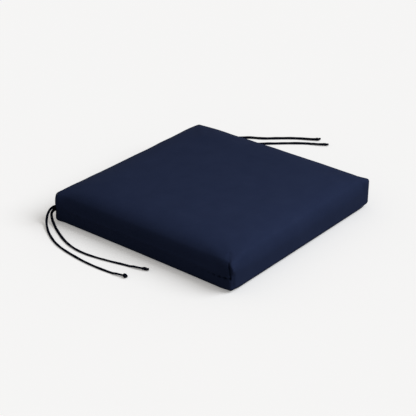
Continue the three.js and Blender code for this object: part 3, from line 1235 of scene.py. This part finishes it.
    def _round_off(self, sharp: np.ndarray) -> tuple[np.ndarray, np.ndarray]:
        """Rounds the edges of the box.

        Args:
            sharp: points on the sharp box.

        Returns:
            Points on the rounded box and the surface's direction at each.
        """
        low = np.array([-self.level, -self.level, self.bottom_roll])
        high = np.array([self.level, self.level, self.shoulder_height - self.top_roll])
        core = np.clip(sharp, low, high)
        roll = np.where(sharp[:, 2] > core[:, 2], self.top_roll, self.bottom_roll)
        radii = np.column_stack([np.full(len(sharp), self.corner_radius)] * 2 + [roll])
        out = (sharp - core) / radii
        out /= np.linalg.norm(out, axis=1)[:, None]
        upper = smooth(sharp[:, 2], self.bottom_roll, self.seam.height)
        flat = self._power(sharp, self.upright_squareness, np.ones(len(sharp)))
        tall = self._power(sharp, self.top_squareness, upper)
        tall += self._power(sharp, self.base_squareness, 1 - upper) - ROUND
        level = (np.abs(out[:, 0]) ** flat + np.abs(out[:, 1]) ** flat) ** (1 / flat)
        size = (level**tall + np.abs(out[:, 2]) ** tall) ** (1 / tall)
        return core + out / size[:, None] * radii, out

    def _power(self, sharp: np.ndarray, squareness: Squareness, share: np.ndarray) -> np.ndarray:
        """How square the form is at each point.

        Args:
            sharp: points on the sharp box.
            squareness: the corners that aren't round.
            share: how much of it counts at each point.

        Returns:
            The power of the rounding at each point.
        """
        power = np.full(len(sharp), float(ROUND))
        for corner, most in squareness:
            power += (most - ROUND) * share * corner.nearness(sharp, self.level, self.square_reach)
        return power

    def _sewn_depth(self, points: np.ndarray, out: np.ndarray) -> np.ndarray:
        """How far the stitching draws each point in, below the smooth filled form.

        Args:
            points: the rounded box.
            out: the direction of its surface.

        Returns:
            The depth at each point.
        """
        x, y, z = points.T
        wall = smooth(np.hypot(out[:, 0], out[:, 1]), *self.wall_start)
        plain = self.plain_corner.nearness(points, self.level, self.square_reach)
        worn = self.worn.place.nearness(points, self.level, self.square_reach) > 0
        turn = np.arctan2(np.abs(out[:, 1]), np.abs(out[:, 0])) - math.pi / 4
        past = np.maximum(self.level - np.abs(points[:, :2]).min(axis=1), 0)
        round_worn = self._round_worn(points, turn)
        from_upright = np.where(worn, np.abs(round_worn), np.abs(turn) * self.corner_radius + past)
        along = np.where(np.abs(out[:, 0]) > np.abs(out[:, 1]), y, x + self.back_shift)
        level = self.seam.depth(along, z, np.hypot(x + self.half, y + self.half))
        level *= smooth(out[:, 1], *self.seam_start) * (1 - self.seam_plain_fade * plain)
        upright = self.upright.depth(from_upright, z, plain, worn)
        at_ties = np.where(y > 0, self.tie_root.depth(from_upright, z), 0)
        from_top = z - (self.shoulder_height - self.top_roll / 2)
        puckered = (1 - plain) * self.upright.pucker.at(np.hypot(from_upright, from_top))
        near_worn = self.worn.place.nearness(points, self.level, self.worn.reach)
        return wall * (level + upright + at_ties) + puckered + near_worn * self.worn.depth(round_worn, z)

    def _round_worn(self, points: np.ndarray, turn: np.ndarray) -> np.ndarray:
        """How far round the worn corner each point is from its upright seam.

        Args:
            points: the rounded box.
            turn: how far the surface has turned round the corner from its middle, in radians.

        Returns:
            The distance in millimetres, below 0 on the left.
        """
        past = np.maximum(points[:, :2] + self.level, 0)
        lean = self.worn.lean * np.maximum(points[:, 2] - self.worn.lean_start, 0) ** 2
        return turn * self.corner_radius + past[:, 0] - past[:, 1] + lean + self.worn.offset

    def _between(self, points: np.ndarray) -> np.ndarray:
        """How far each point is from the corners at the ends of its side, for both directions."""
        share = np.minimum(np.abs(points[:, :2]) / self.half, 1)
        return 1 - share[:, ::-1] ** self.side_power

    def _edges(self, points: np.ndarray) -> np.ndarray:
        """The roll, the draw and the fall of the edge on each point's own side, for both directions."""
        near, far = np.array([self.left, self.front]), np.array([self.right, self.back])
        return np.moveaxis(np.where(points[:, :2, None] > 0, far, near), -1, 0)

    def _deepened(self, points: np.ndarray) -> np.ndarray:
        """Makes the rolled top edge deeper between the corners.

        Args:
            points: the rounded box.

        Returns:
            The points' new heights. Nothing below the level seam has moved.
        """
        rolls, _, _ = self._edges(points)
        roll = self.top_roll + ((rolls - self.top_roll) * self._between(points)).sum(axis=1)
        drop = self.shoulder_height - points[:, 2]
        reach = self.shoulder_height - self.seam.height
        wall = roll + (drop - self.top_roll) * (reach - roll) / (reach - self.top_roll)
        deeper = np.select([drop < self.top_roll, drop < reach], [drop * roll / self.top_roll, wall], drop)
        return self.shoulder_height - deeper

    def _fill(self, points: np.ndarray) -> np.ndarray:
        """Draws the middle of each edge in, lets the top fall to it and raises the crown.

        Args:
            points: the sewn box.

        Returns:
            The filled form.
        """
        place, height = points[:, :2], points[:, 2]
        share = np.minimum(np.abs(place) / self.half, 1)
        _, draw, fall = self._edges(points)
        drawn = place * (1 - draw * (1 - share[:, ::-1] ** 2) / self.half)
        fallen = fall * self._between(points) * np.exp((np.abs(place) - self.half) / self.fall_reach)
        level = (1 - share**self.crown_power).prod(axis=1)
        lift = smooth(height, self.seam.height, self.shoulder_height)
        return np.column_stack([drawn, height + lift * (self.crown * level - fallen.sum(axis=1))])

    def form(self, unit: np.ndarray) -> tuple[np.ndarray, np.ndarray]:
        """Shapes the cube.

        Args:
            unit: points on the cube of side 2.

        Returns:
            Points on the filled cover in millimetres, and the direction of its surface.
        """
        sharp = np.column_stack([
            self._panel_place(unit[:, 0]),
            self._panel_place(unit[:, 1]),
            self._height_place(unit[:, 2]),
        ])
        points, out = self._round_off(sharp)
        points[:, 2] = self._deepened(points)
        depth = self._sewn_depth(points, out)
        depth += smooth(points[:, 2], *self.slack_start) * self.slack.at(points)
        filled = self._fill(points - out * depth[:, None])
        filled[:, 2] = np.maximum(filled[:, 2], 0)
        return filled, out

    def _down_side(self, unit: np.ndarray, places: np.ndarray) -> tuple[np.ndarray, np.ndarray]:
        """Measures the cloth of the sides.

        Args:
            unit: vertices on the cube of side 2.
            places: where the cover has them, in millimetres.

        Returns:
            Each vertex's distance along the cloth from the top rim, and from the bottom rim.
        """
        side = np.flatnonzero(np.abs(unit[:, :2]).max(axis=1) > 1 - self.cube_slack)
        x, y = (unit[side, :2] / self.cube_slack).round().T
        order = np.lexsort((unit[side, 2], y, x))
        columns = side[order].reshape(-1, self.up + 1)
        steps = np.linalg.norm(np.diff(places[columns], axis=1), axis=2)
        climb = np.pad(np.cumsum(steps, axis=1), ((0, 0), (1, 0)))
        from_top, from_base = np.zeros(len(unit)), np.zeros(len(unit))
        from_base[columns] = climb
        from_top[columns] = climb[:, -1:] - climb
        return from_top, from_base

    def lay_cloth(self, mesh: bpy.types.Mesh, unit: np.ndarray, places: np.ndarray) -> None:
        """Gives the cover a UV map in metres that follows the pieces it was cut from.

        Args:
            mesh: the cover, with the cube's faces in their first order.
            unit: its vertices on the cube of side 2.
            places: where the cover has them, in millimetres.
        """
        corners = np.empty(len(mesh.loops), dtype=np.int64)
        mesh.loops.foreach_get("vertex_index", corners)
        from_top, from_base = (drop[corners].reshape(-1, 4) for drop in self._down_side(unit, places))
        spots = unit[corners].reshape(-1, 4, 3)
        middle = spots.mean(axis=1)
        axis = np.argmax(np.abs(middle), axis=1)
        sign = np.sign(middle[np.arange(len(middle)), axis])
        x = self._panel_place(spots[..., 0], arc=True)
        y = self._panel_place(spots[..., 1], arc=True)
        edge = self.level + self.corner_radius * math.pi / 4
        upper = (middle[:, 2] > self.seam_unit)[:, None]
        drop = np.where(upper, from_top, from_base)
        fall = (axis == 0)[:, None]
        u = np.where(fall, sign[:, None] * (edge + drop), x)
        v_side = np.where((axis == 1)[:, None], sign[:, None] * (edge + drop), y)
        under = (axis == 2) & (sign < 0) | (axis != 2) & (middle[:, 2] <= self.seam_unit)
        front = (axis == 1) & (sign < 0)
        below = -2 * edge - self.shoulder_height - v_side
        v = np.where(under[:, None], below, v_side)
        v = np.where(front[:, None], -edge - from_top, v)
        layer = mesh.uv_layers.new(name="cloth")
        layer.data.foreach_set("uv", (np.stack([u, v], axis=-1) * MM).ravel())

    def build(self, finish: bpy.types.Material) -> bpy.types.Object:
        """Args:
            finish: the cover cloth.

        Returns:
            The cushion.
        """
        cushion = add_piece("cushion_cover", self.grid())
        unit = positions(cushion.data)
        places, _ = self.form(unit)
        places += Filling().spread(self, places)
        places[:, 2] = np.maximum(places[:, 2], 0)
        self.lay_cloth(cushion.data, unit, places)
        set_positions(cushion.data, places * MM)
        cushion.data.materials.append(finish)
        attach(cushion, BODY)
        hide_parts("cushion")
        log.info("cushion: %d faces", len(cushion.data.polygons))
        return cushion


@dataclass(frozen=True)
class Filling:
    """Swells a coarse copy of the cover by cloth simulation. Lengths are millimetres."""

    pressure: float = 4
    frames: int = 20
    smaller_by: float = 2.5
    largest_move: float = 6
    wall_steps: tuple[int, int, int] = (3, 3, 4)
    panel_steps: int = 48
    seam_hold: float = 7
    corner_hold: float = 11.2
    ground_hold: float = 8
    front_fold: float = 5
    even_passes: int = 24
    share: float = 0.35
    reach: float = 7
    neighbours: int = 9

    def settle(self, cover: Cover) -> tuple[np.ndarray, np.ndarray]:
        """Runs the simulation.

        Args:
            cover: the cover that is filled.

        Returns:
            Places on the cover in millimetres, and how far the swollen cloth lies from the even form there.
        """
        roll, under, over = self.wall_steps
        steps = {"roll_steps": roll, "steps_under_seam": under, "steps_over_seam": over}
        coarse = replace(cover, panel_steps=self.panel_steps, **steps)
        piece = add_piece("filling", coarse.grid())
        unit = positions(piece.data)
        rest, out = coarse.form(unit)
        held = self._held(cover, rest)
        start = rest - out * (self.smaller_by * (1 - held))[:, None]
        set_positions(piece.data, start * MM)
        pins = piece.vertex_groups.new(name="held")
        for i, weight in enumerate(held):
            pins.add([i], float(weight), "REPLACE")
        cloth = piece.modifiers.new("swelling", "CLOTH")
        cloth.settings.use_pressure = True
        cloth.settings.uniform_pressure_force = self.pressure
        cloth.settings.vertex_group_mass = "held"
        cloth.settings.effector_weights.gravity = 0
        cloth.point_cache.frame_start = 1
        cloth.point_cache.frame_end = self.frames
        scene = bpy.context.scene
        for step in range(1, self.frames + 1):
            scene.frame_set(step)
        swollen = piece.evaluated_get(bpy.context.evaluated_depsgraph_get()).to_mesh()
        moved = positions(swollen) / MM - rest
        scene.frame_set(1)
        far = np.linalg.norm(moved, axis=1)
        moved *= np.minimum(1, self.largest_move / np.maximum(far, TINY))[:, None]
        edges = np.array([edge.vertices[:] for edge in piece.data.edges])
        uneven = moved - self._evened(moved, edges)
        bpy.data.objects.remove(piece)
        log.info("filling: moved up to %.1f mm, uneven by up to %.2f mm", far.max(), np.abs(uneven).max())
        return rest, self.share * uneven * (1 - held)[:, None]

    def _held(self, cover: Cover, rest: np.ndarray) -> np.ndarray:
        """How firmly the stitching and the ground hold each point.

        Args:
            cover: the cover that is filled.
            rest: the points.

        Returns:
            A share from 0 to 1 for each point. The front is a fold, with no seam to hold it.
        """
        x, y, z = np.abs(rest).T
        upright = bell(np.hypot(cover.half - x, cover.half - y), self.corner_hold)
        sewn = rest[:, 1] > self.front_fold - cover.half
        seam = np.where(sewn, bell(z - cover.seam.height, self.seam_hold), 0)
        return np.clip(np.maximum.reduce([upright, seam, 1 - smooth(z, 0, self.ground_hold)]), 0, 1)

    def _evened(self, moved: np.ndarray, edges: np.ndarray) -> np.ndarray:
        """Averages the moves with their neighbours' over and over, so that only the swell is left.

        Args:
            moved: how far each point has moved.
            edges: pairs of neighbouring points.

        Returns:
            The even moves.
        """
        count = np.bincount(edges.ravel(), minlength=len(moved))[:, None]
        even = moved.copy()
        for _ in range(self.even_passes):
            total = np.zeros_like(even)
            np.add.at(total, edges[:, 0], even[edges[:, 1]])
            np.add.at(total, edges[:, 1], even[edges[:, 0]])
            even = (even + total / count) / 2
        return even

    def spread(self, cover: Cover, places: np.ndarray) -> np.ndarray:
        """Passes the settled cloth's unevenness on to the fine mesh.

        Args:
            cover: the cover that is filled.
            places: the fine mesh's vertices in millimetres.

        Returns:
            How far each of them moves.
        """
        rest, uneven = self.settle(cover)
        tree = kdtree.KDTree(len(rest))
        for i, place in enumerate(rest):
            tree.insert(place, i)
        tree.balance()
        moves = np.zeros_like(places)
        for i, place in enumerate(places):
            found = tree.find_n(place, self.neighbours)
            weights = bell(np.array([distance for _, _, distance in found]), self.reach) + TINY
            moves[i] = weights @ uneven[[index for _, index, _ in found]] / weights.sum()
        return moves


# The studio


@dataclass(frozen=True)
class Lamp:
    """A distant soft light."""

    name: str
    azimuth: float
    elevation: float
    strength: float
    spread: float
    colour: Triple = (0.98, 1.0, 1.02)

    def build(self) -> bpy.types.Object:
        """Makes the lamp.

        Returns:
            A sun that shines from its azimuth, counted from +X towards +Y, and its elevation.
        """
        data = bpy.data.lights.new(self.name, "SUN")
        data.energy = self.strength
        data.angle = math.radians(self.spread)
        data.color = self.colour
        lamp = add_object(self.name, data)
        azimuth, elevation = math.radians(self.azimuth), math.radians(self.elevation)
        source = Vector((
            math.cos(azimuth) * math.cos(elevation),
            math.sin(azimuth) * math.cos(elevation),
            math.sin(elevation),
        ))
        lamp.rotation_euler = source.to_track_quat("Z", "Y").to_euler()
        return lamp


@dataclass(frozen=True)
class NearLamp:
    """A round soft light close to the cushion. Its place, its aim and its size are metres."""

    name: str
    place: Triple
    aim: Triple
    size: float
    power: float

    def build(self, lit: list[bpy.types.Object]) -> bpy.types.Object:
        """Makes the lamp.

        Args:
            lit: the only pieces that it lights, so that the ground stays even.

        Returns:
            The lamp.
        """
        data = bpy.data.lights.new(self.name, "AREA")
        data.shape = "DISK"
        data.size = self.size
        data.energy = self.power
        lamp = add_object(self.name, data)
        lamp.location = self.place
        lamp.rotation_euler = looking(self.place, self.aim)
        lamp.visible_camera = False
        receivers = bpy.data.collections.new(f"{self.name} lights")
        for piece in lit:
            receivers.objects.link(piece)
        lamp.light_linking.receiver_collection = receivers
        return lamp


@dataclass(frozen=True)
class Studio:
    """Floor, lights and the way the picture is developed."""

    key: Lamp = Lamp("key", azimuth=-56.0, elevation=42.0, strength=2.0, spread=44.0)
    near: NearLamp = NearLamp(
        "near", place=(0.03, -0.46, 0.62), aim=(-0.15, -0.2, 0.05), size=0.3, power=2.45,
    )
    sky: float = 0.285
    sky_colour: Triple = (1.06, 1.0, 0.92)
    floor_size: float = 40.0

    def build(self, lit: list[bpy.types.Object]) -> None:
        """Makes the floor, the lamps and the surrounding light.

        Args:
            lit: the pieces that the near lamp lights.
        """
        scene = bpy.context.scene
        scene.view_settings.view_transform = "Standard"
        self.key.build()
        self.near.build(lit)
        world = bpy.data.worlds.new("studio")
        world.use_nodes = True
        background = world.node_tree.nodes["Background"]
        background.inputs["Color"].default_value = (*self.sky_colour, 1)
        background.inputs["Strength"].default_value = self.sky
        scene.world = world
        bm = bmesh.new()
        bmesh.ops.create_grid(bm, x_segments=1, y_segments=1, size=self.floor_size / 2)
        floor = add_piece("floor", bm)
        floor.data.materials.append(PaleFloor().material())


def main() -> None:
    """Builds the cushion, its ties and the studio."""
    logging.basicConfig(level=logging.INFO, format="%(message)s")
    Viewpoint().build()
    cover_cloth = NavyCloth()
    tie_cloth = NavyCloth(
        name="navy tie cloth",
        shade=(0.0034, 0.0044, 0.0098),
        deep_shade=(0.0024, 0.0032, 0.0074),
        lint_shade=(0.02, 0.024, 0.034),
        thread_spacing=0.42 * MM,
        roughness=0.8,
        sheen=0.0,
        gloss=0.02,
    )
    tie_finish = tie_cloth.material()
    pieces = [piece for tie in TIES for piece in tie.build(tie_finish)]
    pieces.append(Cover().build(cover_cloth.material()))
    Studio().build(pieces)


if __name__ == "__main__":
    main()
